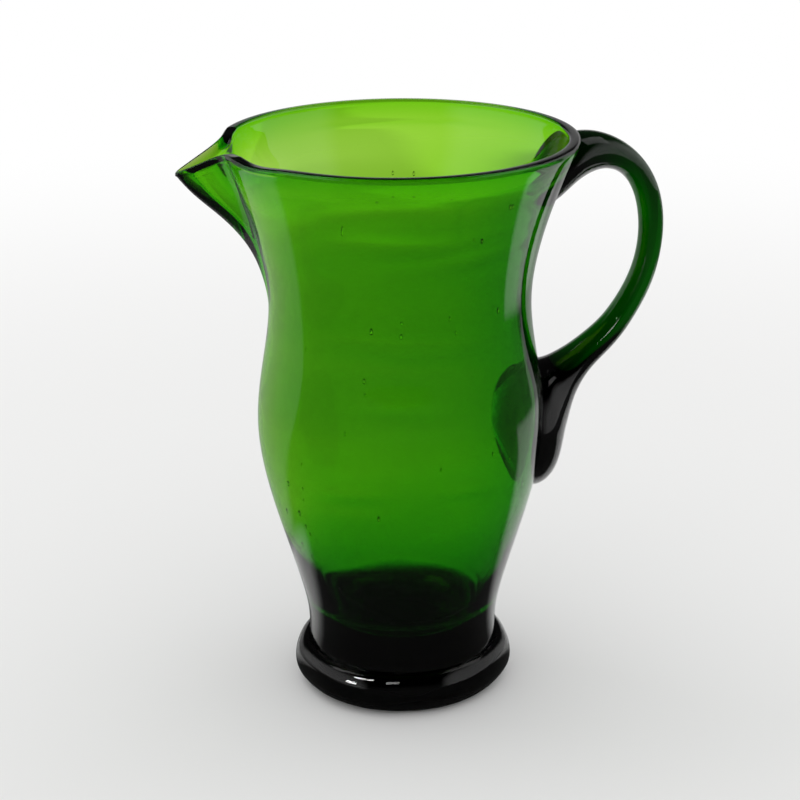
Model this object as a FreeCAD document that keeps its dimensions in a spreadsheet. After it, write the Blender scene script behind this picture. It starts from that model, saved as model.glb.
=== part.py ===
"""Hand-blown glass jug: a blown body with a pulled spout, an applied foot and an applied handle.

Millimetres, +Z up. The origin is at the centre of the plane that the foot rests on.
The spout points along -X. The handle stands opposite, turned a little off the spout's line.
"""
import FreeCAD, Part
import math
import os
import Sketcher
from FreeCAD import Rotation, Vector

SIZES = {
    # blown body, outside
    "jug_height": 230.0,
    "rim_radius": 69.0,
    "belly_radius": 57.8,
    "belly_height": 114.0,
    "waist_draw": 5.7,
    "waist_rise": 50.0,
    "neck_radius": 39.0,
    "neck_rise": 9.5,
    "body_bottom": 7.5,
    "bottom_corner": 7.0,
    # blown body, inside
    "rim_wall": 2.6,
    "waist_wall": 3.2,
    "belly_wall": 3.8,
    "neck_wall": 5.0,
    "base_thickness": 18.5,
    "floor_corner": 14.0,
    "lip_round": 1.9,
    # pulled spout
    "spout_out": 15.7,
    "spout_drop": 13.1,
    "spout_mouth": 44.8,
    "spout_tip_round": 6.0,
    "spout_wall": 2.8,
    "crease_round": 2.1,
    "spout_depth": 52.0,
    # applied foot
    "foot_spread": 6.4,
    "foot_edge": 9.0,
    "foot_top": 17.5,
    "rest_ring_width": 6.0,
    "under_hollow": 1.6,
    "pontil_radius": 15.0,
    "pontil_depth": 1.8,
    # applied handle
    "handle_stand": 47.2,
    "handle_start": 80.5,
    "handle_below_lip": 11.0,
    "rod_thickness": 9.6,
    "rod_width": 12.0,
    "pad_width": 54.0,
    "pad_height": 51.5,
    # cuts run past what they cut by this much
    "overrun": 10.0,
}

# The keel of the spout climbs at this angle, and the handle stands this far off the spout's line.
KEEL_ANGLE = 45.0
HANDLE_TURN = 8.0

# The wall sweeps from each upright place of its outline to the next in two curves. Each is a share of
# the largest round that could make the step alone, or of the two that could share it.
NECK_CURVE_SHARE = 0.26
BELLY_LOW_SHARE = 0.53
BELLY_HIGH_SHARE = 0.51
FLARE_CURVE_SHARE = 0.78

# The foot's shoulder is a round of this share of its spread, and its crest stands off the body by this
# share of that round.
FOOT_SHOULDER_SHARE = 0.49
FOOT_CREST_SHARE = 0.75

# The handle's lower pad, from inside the belly's wall out to the root of the rod. Each row gives shares:
# place out from the belly (of handle_stand), height (of the handle's rise), height of the section
# (of pad_height) and its width (of pad_width), then the slope of the handle's run there in degrees.
PAD_SHARES = [
    (-0.239, 0.186, 1.00, 1.00, 8),
    (-0.123, 0.186, 1.00, 1.00, 8),
    (-0.017, 0.199, 0.92, 0.945, 9),
    (0.053, 0.224, 0.806, 0.843, 10),
    (0.110, 0.255, 0.66, 0.713, 11),
    (0.174, 0.290, 0.503, 0.574, 14),
    (0.243, 0.327, 0.365, 0.454, 20),
    (0.349, 0.368, 0.258, 0.361, 34),
]
# The drawn rod and its upper end, in the same way, with shares of rod_thickness and rod_width.
ROD_SHARES = [
    (0.513, 0.415, 1.18, 1.375, 45),
    (0.656, 0.460, 1.10, 1.23, 47),
    (0.785, 0.518, 1.05, 1.10, 51),
    (0.914, 0.600, 1.01, 1.03, 64),
    (1.000, 0.722, 1.00, 1.00, 84),
    (0.995, 0.805, 1.03, 1.03, 96),
    (0.945, 0.874, 1.03, 1.08, 111),
    (0.845, 0.934, 1.05, 1.18, 134),
    (0.699, 0.977, 1.20, 1.38, 157),
    (0.538, 0.996, 1.48, 1.62, 168),
    (0.375, 0.993, 1.88, 2.00, 171),
    (0.245, 0.977, 2.28, 2.33, 172),
    (0.100, 0.964, 2.52, 2.50, 172),
    (-0.060, 0.957, 2.60, 2.56, 172),
    (-0.220, 0.954, 2.62, 2.58, 172),
]
# The handle is drawn in three stretches, which share the rod's sections at its root and at its upper bend.
ROD_ROOT_ROW = 0
ROD_BEND_ROW = 6

doc = FreeCAD.newDocument("GlassJug")
sheet = doc.addObject("Spreadsheet::Sheet", "Sizes")
for row, (alias, value) in enumerate(SIZES.items(), start=1):
    sheet.set("A%d" % row, alias)
    sheet.set("B%d" % row, str(value))
    sheet.setAlias("B%d" % row, alias)
doc.recompute()


def size(alias):
    """The value of one driving dimension, as the sheet holds it."""
    return float(sheet.get(alias))


def named(expression):
    """The expression with each driving dimension looked up in the sheet."""
    words = []
    for word in expression.replace("(", "( ").replace(")", " )").split():
        words.append("Sizes." + word if word in SIZES else word)
    return " ".join(words)


def reckon(expression):
    """The value of an expression of driving dimensions, worked out by the sheet's own rules."""
    return float(sheet.evalExpression(named(expression)))


def bind(item, name, expression):
    """Tie one property of a document object to the sheet."""
    item.setExpression(name, named(expression))


def origin_plane(body, role):
    """One of a body's own origin planes."""
    return next(plane for plane in body.Origin.OriginFeatures if plane.Role == role)


def turned_sketch(body, name):
    """A sketch in a body's upright plane through the jug's axis."""
    sketch = body.newObject("Sketcher::SketchObject", name)
    sketch.AttachmentSupport = [(origin_plane(body, "XZ_Plane"), "")]
    sketch.MapMode = "FlatFace"
    return sketch


class Outline:
    """A closed profile in a sketch, drawn piece by piece and held by named dimensions."""

    def __init__(self, sketch):
        self.sketch = sketch
        self.ends = []

    def line(self, start, end):
        """A straight piece from start to end."""
        geometry = Part.LineSegment(Vector(*start, 0), Vector(*end, 0))
        index = self.sketch.addGeometry(geometry, False)
        self.ends.append((index, 1, 2))
        return index

    def arc(self, centre, radius, start, end):
        """A round piece about centre from start to end, the short way round."""
        first = math.atan2(start[1] - centre[1], start[0] - centre[0])
        last = math.atan2(end[1] - centre[1], end[0] - centre[0])
        anticlockwise = math.sin(last - first) > 0
        if not anticlockwise:
            first, last = last, first
        circle = Part.Circle(Vector(*centre, 0), Vector(0, 0, 1), radius)
        index = self.sketch.addGeometry(Part.ArcOfCircle(circle, first, last), False)
        self.ends.append((index, 1, 2) if anticlockwise else (index, 2, 1))
        return index

    def join(self, smooth):
        """Join each piece to the next and the last to the first; smooth lists the tangent joints."""
        for place, (index, _, last) in enumerate(self.ends):
            following, first, _ = self.ends[(place + 1) % len(self.ends)]
            kind = "Tangent" if place in smooth else "Coincident"
            self.sketch.addConstraint(Sketcher.Constraint(kind, index, last, following, first))

    def hold(self, kind, target, expression, name):
        """Hold a distance from the origin, a radius or a line's angle at the value of an expression."""
        value = reckon(expression)
        if kind == "Angle":
            value = math.radians(value)
        where = target if kind in ("Radius", "Angle") else (-1, 1, *target)
        number = self.sketch.addConstraint(Sketcher.Constraint(kind, *where, value))
        self.sketch.renameConstraint(number, name)
        bind(self.sketch, "Constraints." + name, expression)

    def level(self, *indices):
        """Keep the given straight pieces level."""
        for index in indices:
            self.sketch.addConstraint(Sketcher.Constraint("Horizontal", index))

    def upright(self, *indices):
        """Keep the given straight pieces upright."""
        for index in indices:
            self.sketch.addConstraint(Sketcher.Constraint("Vertical", index))

    def mirror(self, point, other):
        """Keep two points opposite each other across the sketch's level axis."""
        self.sketch.addConstraint(Sketcher.Constraint("Symmetric", *point, *other, -1))

    def revolve(self, body, name):
        """Turn the outline about the jug's axis."""
        turned = body.newObject("PartDesign::Revolution", name)
        turned.Profile = self.sketch
        turned.ReferenceAxis = (self.sketch, ["V_Axis"])
        turned.Angle = 360.0
        return turned


def touching_line(centre, radius, bulge, other_centre, other_radius, other_bulge):
    """Where one straight line touches two circles of a profile, the first below the second.

    A bulge of 1 is a circle that swells outwards, and of -1 one that draws in.
    """
    across = other_centre[0] - centre[0]
    along = other_centre[1] - centre[1]
    between = math.hypot(across, along)
    turn = math.acos((bulge * radius - other_bulge * other_radius) / between)
    angle = math.atan2(along, across) - turn
    outward = (math.cos(angle), math.sin(angle))
    below = tuple(c + bulge * radius * o for c, o in zip(centre, outward))
    above = tuple(c + other_bulge * other_radius * o for c, o in zip(other_centre, outward))
    return below, above


# Heights and radii that are worked out from the driving dimensions. The lip's round is centred at the
# height of the thicker turns of glass at the spout's creases, which are the jug's highest points.
LIP_HEIGHT = "jug_height - crease_round"
WAIST_HEIGHT = "belly_height + waist_rise"
NECK_HEIGHT = "foot_top + neck_rise"
FLOOR_HEIGHT = "body_bottom + base_thickness"
REST_OUTSIDE = "neck_radius + foot_spread - foot_edge"
FOOT_SHOULDER = "%s * foot_spread" % FOOT_SHOULDER_SHARE
FOOT_CREST = "neck_radius + %s * %s" % (FOOT_CREST_SHARE, FOOT_SHOULDER)
FOOT_CREASE = "foot_top - %s * ( 1 - sqrt( 1 - %s ^ 2 ) )" % (FOOT_SHOULDER, FOOT_CREST_SHARE)
HANDLE_RISE = "( jug_height - handle_below_lip - handle_start )"
# The spout's lip lies in one sloping plane, from the creases where it leaves the rim down to its tip.
CREASE_PLACE = "sqrt( rim_radius ^ 2 - spout_mouth ^ 2 / 4 )"
SPOUT_RUN = "( rim_radius + spout_out - %s )" % CREASE_PLACE
SPOUT_LENGTH = "sqrt( %s ^ 2 + spout_drop ^ 2 )" % SPOUT_RUN
SPOUT_SLOPE = "atan2( spout_drop ; %s )" % SPOUT_RUN
# A straight side of the spout runs from the crease and touches the round of the tip.
SIDE_RUN = "( %s - spout_tip_round )" % SPOUT_LENGTH
SIDE_REACH = "hypot( %s ; spout_mouth / 2 )" % SIDE_RUN
SIDE_ANGLE = "atan2( spout_mouth / 2 ; %s ) - asin( spout_tip_round / %s )" % (SIDE_RUN, SIDE_REACH)
OUTER_RADII = {
    "neck": "neck_radius",
    "belly": "belly_radius",
    "waist": "belly_radius - waist_draw",
    "rim": "rim_radius + rim_wall / 2",
}
INNER_RADII = {
    "neck": "neck_radius - neck_wall",
    "belly": "belly_radius - belly_wall",
    "waist": "belly_radius - waist_draw - waist_wall",
    "rim": "rim_radius - rim_wall / 2",
}


def round_of_step(wide, narrow, high, low):
    """The radius of the round that makes a step of the outline alone, as an expression."""
    step = "( %s - ( %s ) )" % (wide, narrow)
    climb = "( %s - ( %s ) )" % (high, low)
    return "( %s * %s + %s * %s ) / ( 2 * %s )" % (step, step, climb, climb, step)


def wall_curves(radii):
    """The four curves of one wall, upwards: radius, radius of the outline there, height and bulge."""
    lower = round_of_step(radii["belly"], radii["neck"], "belly_height", NECK_HEIGHT)
    middle = round_of_step(radii["belly"], radii["waist"], WAIST_HEIGHT, "belly_height")
    upper = round_of_step(radii["rim"], radii["waist"], LIP_HEIGHT, WAIST_HEIGHT)
    return [
        ("%s * ( %s )" % (BELLY_LOW_SHARE, lower), radii["belly"], "belly_height", 1),
        ("%s * ( %s )" % (BELLY_HIGH_SHARE, middle), radii["belly"], "belly_height", 1),
        ("( 1 - %s ) * ( %s )" % (BELLY_HIGH_SHARE, middle), radii["waist"], WAIST_HEIGHT, -1),
        ("%s * ( %s )" % (FLARE_CURVE_SHARE, upper), radii["waist"], WAIST_HEIGHT, -1),
    ]


def draw_wall(outline, radii, root_centre, root_curve, root_bulge, root_point):
    """Draw one wall from its lowest curve up to the rim.

    Returns the index of the lowest curve, the rim's point, and the dimensions that hold the wall.
    """
    curves = wall_curves(radii)
    rounds = [reckon(curve[0]) for curve in curves]
    centres = [(reckon(at) - bulge * r, reckon(height))
               for r, (_, at, height, bulge) in zip(rounds, curves)]
    belly_point = (reckon(radii["belly"]), size("belly_height"))
    waist_point = (reckon(radii["waist"]), reckon(WAIST_HEIGHT))
    rim_point = (reckon(radii["rim"]), reckon(LIP_HEIGHT))
    low, rise = touching_line(root_centre, root_curve, root_bulge, centres[0], rounds[0], 1)
    meeting = tuple(b + (w - b) * BELLY_HIGH_SHARE for b, w in zip(centres[1], centres[2]))
    flare_start, _ = touching_line(centres[3], rounds[3], -1, rim_point, 0, 1)
    root = outline.arc(root_centre, root_curve, root_point, low)
    outline.line(low, rise)
    stops = [rise, belly_point, meeting, waist_point, flare_start]
    arcs = [outline.arc(centres[n], rounds[n], stops[n], stops[n + 1]) for n in range(len(curves))]
    flare = outline.line(flare_start, rim_point)
    held = []
    for number, (index, (curve, _, height, _)) in enumerate(zip(arcs, curves)):
        held.append(("Radius", (index,), curve, "curve_%d" % number))
        held.append(("DistanceY", (index, 3), height, "height_%d" % number))
    held.append(("DistanceX", (arcs[0], 3), "%s - %s" % (radii["belly"], curves[0][0]), "belly_centre"))
    held.append(("DistanceX", (flare, 2), radii["rim"], "rim_radius"))
    held.append(("DistanceY", (flare, 2), LIP_HEIGHT, "lip_height"))
    return root, rim_point, held


def make_outer_form():
    """The outside of the blown body as a filled form, from its bottom to the middle of the lip."""
    body = doc.addObject("PartDesign::Body", "OuterForm")
    outline = Outline(turned_sketch(body, "OuterOutline"))
    bottom, corner = size("body_bottom"), size("bottom_corner")
    neck, neck_height = size("neck_radius"), reckon(NECK_HEIGHT)
    step = round_of_step("belly_radius", "neck_radius", "belly_height", NECK_HEIGHT)
    neck_curve = "%s * ( %s )" % (NECK_CURVE_SHARE, step)
    corner_centre = (neck - corner, bottom + corner)
    under = outline.line((0, bottom), (corner_centre[0], bottom))
    edge = outline.arc(corner_centre, corner, (corner_centre[0], bottom), (neck, corner_centre[1]))
    side = outline.line((neck, corner_centre[1]), (neck, neck_height))
    neck_centre = (neck + reckon(neck_curve), neck_height)
    neck_arc, rim_point, wall_holds = draw_wall(
        outline, OUTER_RADII, neck_centre, reckon(neck_curve), -1, (neck, neck_height))
    top = outline.line(rim_point, (0, rim_point[1]))
    axis = outline.line((0, rim_point[1]), (0, bottom))
    outline.join(smooth=range(under, top - 1))
    outline.level(under, top)
    outline.upright(side)
    outline.hold("DistanceX", (axis, 1), "0", "axis_top")
    outline.hold("DistanceX", (axis, 2), "0", "axis_bottom")
    outline.hold("DistanceY", (under, 1), "body_bottom", "body_bottom")
    outline.hold("Radius", (edge,), "bottom_corner", "bottom_corner")
    outline.hold("DistanceX", (side, 1), "neck_radius", "neck_radius")
    outline.hold("Radius", (neck_arc,), neck_curve, "neck_curve")
    outline.hold("DistanceY", (neck_arc, 3), NECK_HEIGHT, "neck_height")
    for held in wall_holds:
        outline.hold(*held)
    outline.revolve(body, "OuterTurn")
    return body


def make_inner_form():
    """The hollow of the blown body, run on past the lip."""
    body = doc.addObject("PartDesign::Body", "InnerForm")
    outline = Outline(turned_sketch(body, "InnerOutline"))
    floor, corner = reckon(FLOOR_HEIGHT), size("floor_corner")
    corner_place = INNER_RADII["neck"] + " - floor_corner"
    corner_centre = (reckon(corner_place), floor + corner)
    base = outline.line((0, floor), (corner_centre[0], floor))
    corner_arc, rim_point, wall_holds = draw_wall(
        outline, INNER_RADII, corner_centre, corner, 1, (corner_centre[0], floor))
    over = rim_point[1] + size("overrun")
    mouth = outline.line(rim_point, (rim_point[0], over))
    top = outline.line((rim_point[0], over), (0, over))
    axis = outline.line((0, over), (0, floor))
    outline.join(smooth=range(base, mouth - 1))
    outline.level(base, top)
    outline.upright(mouth)
    outline.hold("DistanceX", (axis, 1), "0", "axis_top")
    outline.hold("DistanceX", (axis, 2), "0", "axis_bottom")
    outline.hold("DistanceY", (axis, 1), LIP_HEIGHT + " + overrun", "over_height")
    outline.hold("DistanceY", (base, 1), FLOOR_HEIGHT, "floor_height")
    outline.hold("Radius", (corner_arc,), "floor_corner", "floor_corner")
    outline.hold("DistanceX", (corner_arc, 3), corner_place, "corner_centre")
    for held in wall_holds:
        outline.hold(*held)
    outline.revolve(body, "InnerTurn")
    return body


def spout_outline(name, offset, root):
    """The V of the spout in its lip plane, set off from the middle of the wall and closed at root."""
    sketch = doc.addObject("Sketcher::SketchObject", name)
    sketch.Placement = FreeCAD.Placement(Vector(0, 0, 0), Rotation(Vector(0, -1, 0), reckon(SPOUT_SLOPE)))
    bind(sketch, "Placement.Base.x", "- ( rim_radius + spout_out )")
    bind(sketch, "Placement.Base.z", LIP_HEIGHT + " - spout_drop")
    bind(sketch, "Placement.Rotation.Angle", SPOUT_SLOPE)
    outline = Outline(sketch)
    centre, tip_round = size("spout_tip_round"), reckon("spout_tip_round + " + offset)
    angle, far = math.radians(reckon(SIDE_ANGLE)), reckon(root)
    touch = (centre - tip_round * math.sin(angle), tip_round * math.cos(angle))
    end = (far, touch[1] + (far - touch[0]) * math.tan(angle))
    low_touch, low_end = (touch[0], -touch[1]), (end[0], -end[1])
    low_side = outline.line(low_end, low_touch)
    tip = outline.arc((centre, 0), tip_round, low_touch, touch)
    side = outline.line(touch, end)
    outline.line(end, low_end)
    outline.join(smooth=(low_side, tip))
    outline.mirror((low_side, 1), (side, 2))
    outline.hold("DistanceX", (tip, 3), "spout_tip_round", "tip_centre")
    outline.hold("DistanceY", (tip, 3), "0", "tip_middle")
    outline.hold("Radius", (tip,), "spout_tip_round + " + offset, "tip_round")
    outline.hold("Angle", (side,), SIDE_ANGLE, "side_angle")
    outline.hold("DistanceX", (side, 2), root, "root")
    return outline


def spout_prism(name, offset, root, down, up):
    """The spout's V drawn out along its keel, down into the body and up past the lip plane."""
    prism = doc.addObject("Part::Extrusion", name)
    prism.Base = spout_outline(name + "Outline", offset, root).sketch
    prism.DirMode = "Custom"
    prism.Dir = Vector(-math.cos(math.radians(KEEL_ANGLE)), 0, math.sin(math.radians(KEEL_ANGLE)))
    prism.Solid = True
    bind(prism, "LengthFwd", up)
    bind(prism, "LengthRev", down)
    return prism


def make_spout_lip():
    """The fire-polished edge of the spout: a round bead along its V, with a round turn at each crease."""
    outline = spout_outline("LipPath", "0", SPOUT_LENGTH)
    path = outline.sketch
    start = path.Geometry[0].StartPoint
    heading = path.Geometry[0].EndPoint - start
    circle = doc.addObject("Part::Circle", "LipSection")
    bind(circle, "Radius", "lip_round")
    doc.recompute([path])
    circle.Placement = path.Placement * FreeCAD.Placement(start, Rotation(Vector(0, 0, 1), heading))
    bead = doc.addObject("Part::Sweep", "SpoutBead")
    bead.Sections = [circle]
    bead.Spine = (path, ["Edge1", "Edge2", "Edge3"])
    bead.Solid = True
    turns = []
    for name, side in (("NearCrease", "-"), ("FarCrease", "")):
        turn = doc.addObject("Part::Sphere", name)
        bind(turn, "Radius", "crease_round")
        bind(turn, "Placement.Base.x", "- " + CREASE_PLACE)
        bind(turn, "Placement.Base.y", side + " spout_mouth / 2")
        bind(turn, "Placement.Base.z", LIP_HEIGHT)
        turns.append(turn)
    lip = doc.addObject("Part::MultiFuse", "SpoutLip")
    lip.Shapes = [bead, *turns]
    return lip


def join_two(kind, name, base, tool):
    """A boolean of two document objects."""
    result = doc.addObject("Part::" + kind, name)
    result.Base = base
    result.Tool = tool
    return result


def make_blown_body(outer_form, inner_form):
    """The blown vessel: its wall, the round of the lip, and the lip pulled out into a spout."""
    wall = join_two("Cut", "BodyWall", outer_form, inner_form)
    ring = doc.addObject("Part::Torus", "LipRing")
    bind(ring, "Radius1", "rim_radius")
    bind(ring, "Radius2", "lip_round")
    bind(ring, "Placement.Base.z", LIP_HEIGHT)
    rimmed = join_two("Fuse", "RimmedWall", wall, ring)
    outside, inside, past = "spout_wall / 2", "- spout_wall / 2", SPOUT_LENGTH + " + overrun"
    above_lip = spout_prism("AboveSpout", outside, SPOUT_LENGTH, "0", "overrun")
    channel = spout_prism("SpoutChannel", inside, past, "spout_depth", "overrun")
    trough = spout_prism("SpoutTrough", outside, SPOUT_LENGTH, "spout_depth", "0")
    notched = join_two("Cut", "NotchedWall", rimmed, above_lip)
    opened = join_two("Cut", "OpenedWall", notched, channel)
    hollow = join_two("Fuse", "WholeHollow", inner_form, channel)
    spout = join_two("Cut", "SpoutWall", trough, hollow)
    poured = join_two("Fuse", "PouringBody", opened, spout)
    body = join_two("Fuse", "BlownBody", poured, make_spout_lip())
    body.Label = "blown_body"
    return body, ring


def make_applied_foot(outer_form):
    """The cushion of glass under the body, with the ground hollow where the iron was broken off."""
    body = doc.addObject("PartDesign::Body", "FootBlank")
    outline = Outline(turned_sketch(body, "FootOutline"))
    neck, spread = size("neck_radius"), size("foot_spread")
    radius, edge, top = neck + spread, size("foot_edge"), size("foot_top")
    shoulder, crest, crease = reckon(FOOT_SHOULDER), reckon(FOOT_CREST), reckon(FOOT_CREASE)
    rest_outside = radius - edge
    rest_inside = rest_outside - size("rest_ring_width")
    hollow, pontil = size("under_hollow"), size("pontil_radius")
    deep = hollow + size("pontil_depth")
    # the side's curve stands upright at the widest place and touches the shoulder's curve from outside
    climb, reach = top - edge, radius - crest
    side = (reach ** 2 + climb ** 2 - 2 * shoulder * climb) / (2 * (reach - shoulder))
    side_centre = (radius - side, edge)
    shoulder_centre = (crest, top - shoulder)
    away = math.hypot(shoulder_centre[0] - side_centre[0], shoulder_centre[1] - side_centre[1])
    meeting = tuple(c + (s - c) * side / away for c, s in zip(side_centre, shoulder_centre))
    dish = (pontil ** 2 + size("pontil_depth") ** 2) / (2 * size("pontil_depth"))
    dish_arc = outline.arc((0, deep - dish), dish, (0, deep), (pontil, hollow))
    slope = outline.line((pontil, hollow), (rest_inside, 0))
    rest = outline.line((rest_inside, 0), (rest_outside, 0))
    edge_arc = outline.arc((rest_outside, edge), edge, (rest_outside, 0), (radius, edge))
    side_arc = outline.arc(side_centre, side, (radius, edge), meeting)
    shoulder_arc = outline.arc(shoulder_centre, shoulder, meeting, (neck, crease))
    over = outline.line((neck, crease), (0, crease))
    axis = outline.line((0, crease), (0, deep))
    outline.join(smooth=(rest, edge_arc, side_arc))
    outline.level(rest, over)
    outline.hold("DistanceX", (axis, 1), "0", "axis_top")
    outline.hold("DistanceX", (axis, 2), "0", "axis_bottom")
    outline.hold("DistanceX", (dish_arc, 3), "0", "dish_centre")
    outline.hold("DistanceY", (axis, 2), "under_hollow + pontil_depth", "dish_top")
    outline.hold("DistanceX", (slope, 1), "pontil_radius", "pontil_radius")
    outline.hold("DistanceY", (slope, 1), "under_hollow", "under_hollow")
    outline.hold("DistanceX", (rest, 1), REST_OUTSIDE + " - rest_ring_width", "rest_inside")
    outline.hold("DistanceY", (rest, 1), "0", "rest_height")
    outline.hold("DistanceX", (edge_arc, 3), REST_OUTSIDE, "rest_outside")
    outline.hold("Radius", (edge_arc,), "foot_edge", "foot_edge")
    outline.hold("DistanceY", (side_arc, 3), "foot_edge", "widest_height")
    outline.hold("Radius", (shoulder_arc,), FOOT_SHOULDER, "foot_shoulder")
    outline.hold("DistanceX", (shoulder_arc, 3), FOOT_CREST, "foot_crest")
    outline.hold("DistanceX", (over, 1), "neck_radius", "neck_radius")
    outline.hold("DistanceY", (over, 1), FOOT_CREASE, "foot_crease")
    outline.revolve(body, "FootTurn")
    foot = join_two("Cut", "AppliedFoot", body, outer_form)
    foot.Label = "applied_foot"
    return foot


def handle_section(name, row, thickness, width):
    """One oval section of the handle, square to its run, tied to the sheet."""
    out_share, rise_share, thickness_share, width_share, tilt = row
    oval = doc.addObject("Part::Ellipse", name)
    oval.Placement = FreeCAD.Placement(
        Vector(0, 0, 0), Rotation(Vector(0, 1, 0), 90 - tilt) * Rotation(Vector(0, 0, 1), 90))
    bind(oval, "MajorRadius", "%s * %s / 2" % (width_share, width))
    bind(oval, "MinorRadius", "%s * %s / 2" % (thickness_share, thickness))
    bind(oval, "Placement.Base.x", "belly_radius + %s * handle_stand" % out_share)
    bind(oval, "Placement.Base.z", "handle_start + %s * %s" % (rise_share, HANDLE_RISE))
    return oval


def handle_stretch(name, ovals):
    """One stretch of the handle, drawn smoothly through its oval sections."""
    stretch = doc.addObject("Part::Loft", name)
    stretch.Sections = ovals
    stretch.Solid = True
    stretch.Ruled = False
    stretch.Closed = False
    return stretch


def make_applied_handle(outer_form, ring):
    """The handle: a heavy pad on the belly, drawn up into a rod and pressed on below the lip."""
    ovals = []
    for number, row in enumerate(PAD_SHARES):
        ovals.append(handle_section("PadSection%d" % number, row, "pad_height", "pad_width"))
    for number, row in enumerate(ROD_SHARES):
        ovals.append(handle_section("RodSection%d" % number, row, "rod_thickness", "rod_width"))
    root = len(PAD_SHARES) + ROD_ROOT_ROW
    bend = len(PAD_SHARES) + ROD_BEND_ROW
    drawn = doc.addObject("Part::MultiFuse", "DrawnHandle")
    drawn.Shapes = [
        handle_stretch("PadStretch", ovals[:root + 1]),
        handle_stretch("RodStretch", ovals[root:bend + 1]),
        handle_stretch("UpperStretch", ovals[bend:]),
    ]
    drawn.Placement = FreeCAD.Placement(Vector(0, 0, 0), Rotation(Vector(0, 0, 1), HANDLE_TURN))
    seated = join_two("Cut", "SeatedHandle", drawn, outer_form)
    handle = join_two("Cut", "AppliedHandle", seated, ring)
    handle.Label = "applied_handle"
    return handle


def check_document(nodes):
    """Stop before anything is written if an object failed or a piece is not one sound solid."""
    for item in doc.Objects:
        if "Invalid" in item.State or "Error" in item.State:
            raise RuntimeError("%s failed: %s" % (item.Name, item.State))
    for node in nodes:
        shape = node.Shape
        if shape.isNull() or not shape.isValid() or len(shape.Solids) != 1 or shape.Volume < 0:
            raise RuntimeError("%s is not one sound solid" % node.Label)
        print("%s: %.0f mm3" % (node.Label, shape.Volume))


def main():
    """Build the three pieces and write each one out under its label."""
    outer_form = make_outer_form()
    inner_form = make_inner_form()
    blown_body, ring = make_blown_body(outer_form, inner_form)
    nodes = [blown_body, make_applied_foot(outer_form), make_applied_handle(outer_form, ring)]
    doc.recompute()
    check_document(nodes)
    os.makedirs("parts", exist_ok=True)
    for node in nodes:
        node.Shape.exportStep("parts/%s.step" % node.Label)


main()
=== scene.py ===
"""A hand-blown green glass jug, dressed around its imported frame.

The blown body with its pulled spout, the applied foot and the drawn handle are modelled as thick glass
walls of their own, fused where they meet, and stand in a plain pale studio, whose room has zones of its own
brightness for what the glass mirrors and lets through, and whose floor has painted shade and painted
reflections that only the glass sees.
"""
import math

import bpy
import numpy as np
from bpy.props import FloatProperty, FloatVectorProperty, PointerProperty
from mathutils import Matrix, Vector


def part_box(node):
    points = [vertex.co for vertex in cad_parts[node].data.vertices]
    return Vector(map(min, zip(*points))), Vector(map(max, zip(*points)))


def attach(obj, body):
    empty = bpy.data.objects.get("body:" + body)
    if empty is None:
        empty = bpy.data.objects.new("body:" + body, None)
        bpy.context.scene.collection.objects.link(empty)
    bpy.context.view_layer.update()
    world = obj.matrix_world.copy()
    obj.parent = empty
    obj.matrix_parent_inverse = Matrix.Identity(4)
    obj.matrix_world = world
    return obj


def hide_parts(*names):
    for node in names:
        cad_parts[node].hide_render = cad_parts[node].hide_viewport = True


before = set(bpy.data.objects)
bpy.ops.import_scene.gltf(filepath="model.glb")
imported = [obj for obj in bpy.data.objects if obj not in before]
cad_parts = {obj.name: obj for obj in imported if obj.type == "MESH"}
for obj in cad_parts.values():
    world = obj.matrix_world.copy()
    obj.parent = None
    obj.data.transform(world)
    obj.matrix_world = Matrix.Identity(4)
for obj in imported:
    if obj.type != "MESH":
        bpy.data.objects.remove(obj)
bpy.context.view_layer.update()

bl_info = {
    "name": "Blown glass jug",
    "version": (1, 0, 0),
    "blender": (4, 5, 0),
    "location": "3D View > Sidebar > Glass jug",
    "description": "Builds a green glass jug with a pulled spout, an applied foot and a drawn handle",
    "category": "Add Mesh",
}

BODY_LOW, BODY_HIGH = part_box("blown_body")
FOOT_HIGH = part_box("applied_foot")[1]

# The body's outside, as shares of the jug's height and of the rim's reach, from the foot's crease upwards.
OUTSIDE_SHARES = [
    (0.07, 0.55), (0.13, 0.5515), (0.196, 0.595), (0.27, 0.664), (0.391, 0.7715), (0.496, 0.8152),
    (0.6, 0.78), (0.713, 0.735), (0.826, 0.788), (0.922, 0.8915), (0.991, 0.987),
]
# The wall's thickness, as shares of the jug's height and of the belly's wall.
WALL_SHARES = [
    (0.07, 2.3), (0.174, 1.72), (0.27, 1.18), (0.391, 1.0), (0.496, 1.0), (0.713, 1.02), (0.826, 0.98),
    (0.922, 0.92), (0.965, 0.96), (0.991, 1.22),
]
# Level ripples that blowing left in the wall: height as a share of the jug's, angle from the spout and its
# spread in degrees, half the band's breadth as a share of the jug's height, and how many ripples cross it.
RIPPLES = [
    (0.872, 92, 26, 0.034, 1.3), (0.842, 118, 22, 0.03, 1.0), (0.69, 84, 30, 0.036, 1.5),
    (0.59, 86, 20, 0.034, 1.2), (0.43, 62, 16, 0.03, 1.2), (0.43, 112, 12, 0.03, 1.2),
    (0.79, -80, 40, 0.04, 1.2), (0.56, -100, 45, 0.045, 1.2),
]
RIPPLE_SWAY = 0.006
# Slow waves in the hollow's wall: strength, waves in the jug's height, sway round the jug as a share of a
# wave, how many sways go round and where they start, a finer sway, and where the wave starts.
SLOW_WAVES = [
    (1.0, 4.3, 0.13, 1, 0.6, 0.05, 0.0), (0.7, 7.7, 0.21, 1, -1.1, 0.0, 0.3),
    (0.35, 15.0, 0.3, 2, 0.4, 0.0, 0.0),
]
# Where the slow waves start and stop, as shares of the jug's height.
WAVE_START = (0.16, 0.30)
WAVE_STOP = (0.88, 0.97)
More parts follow.
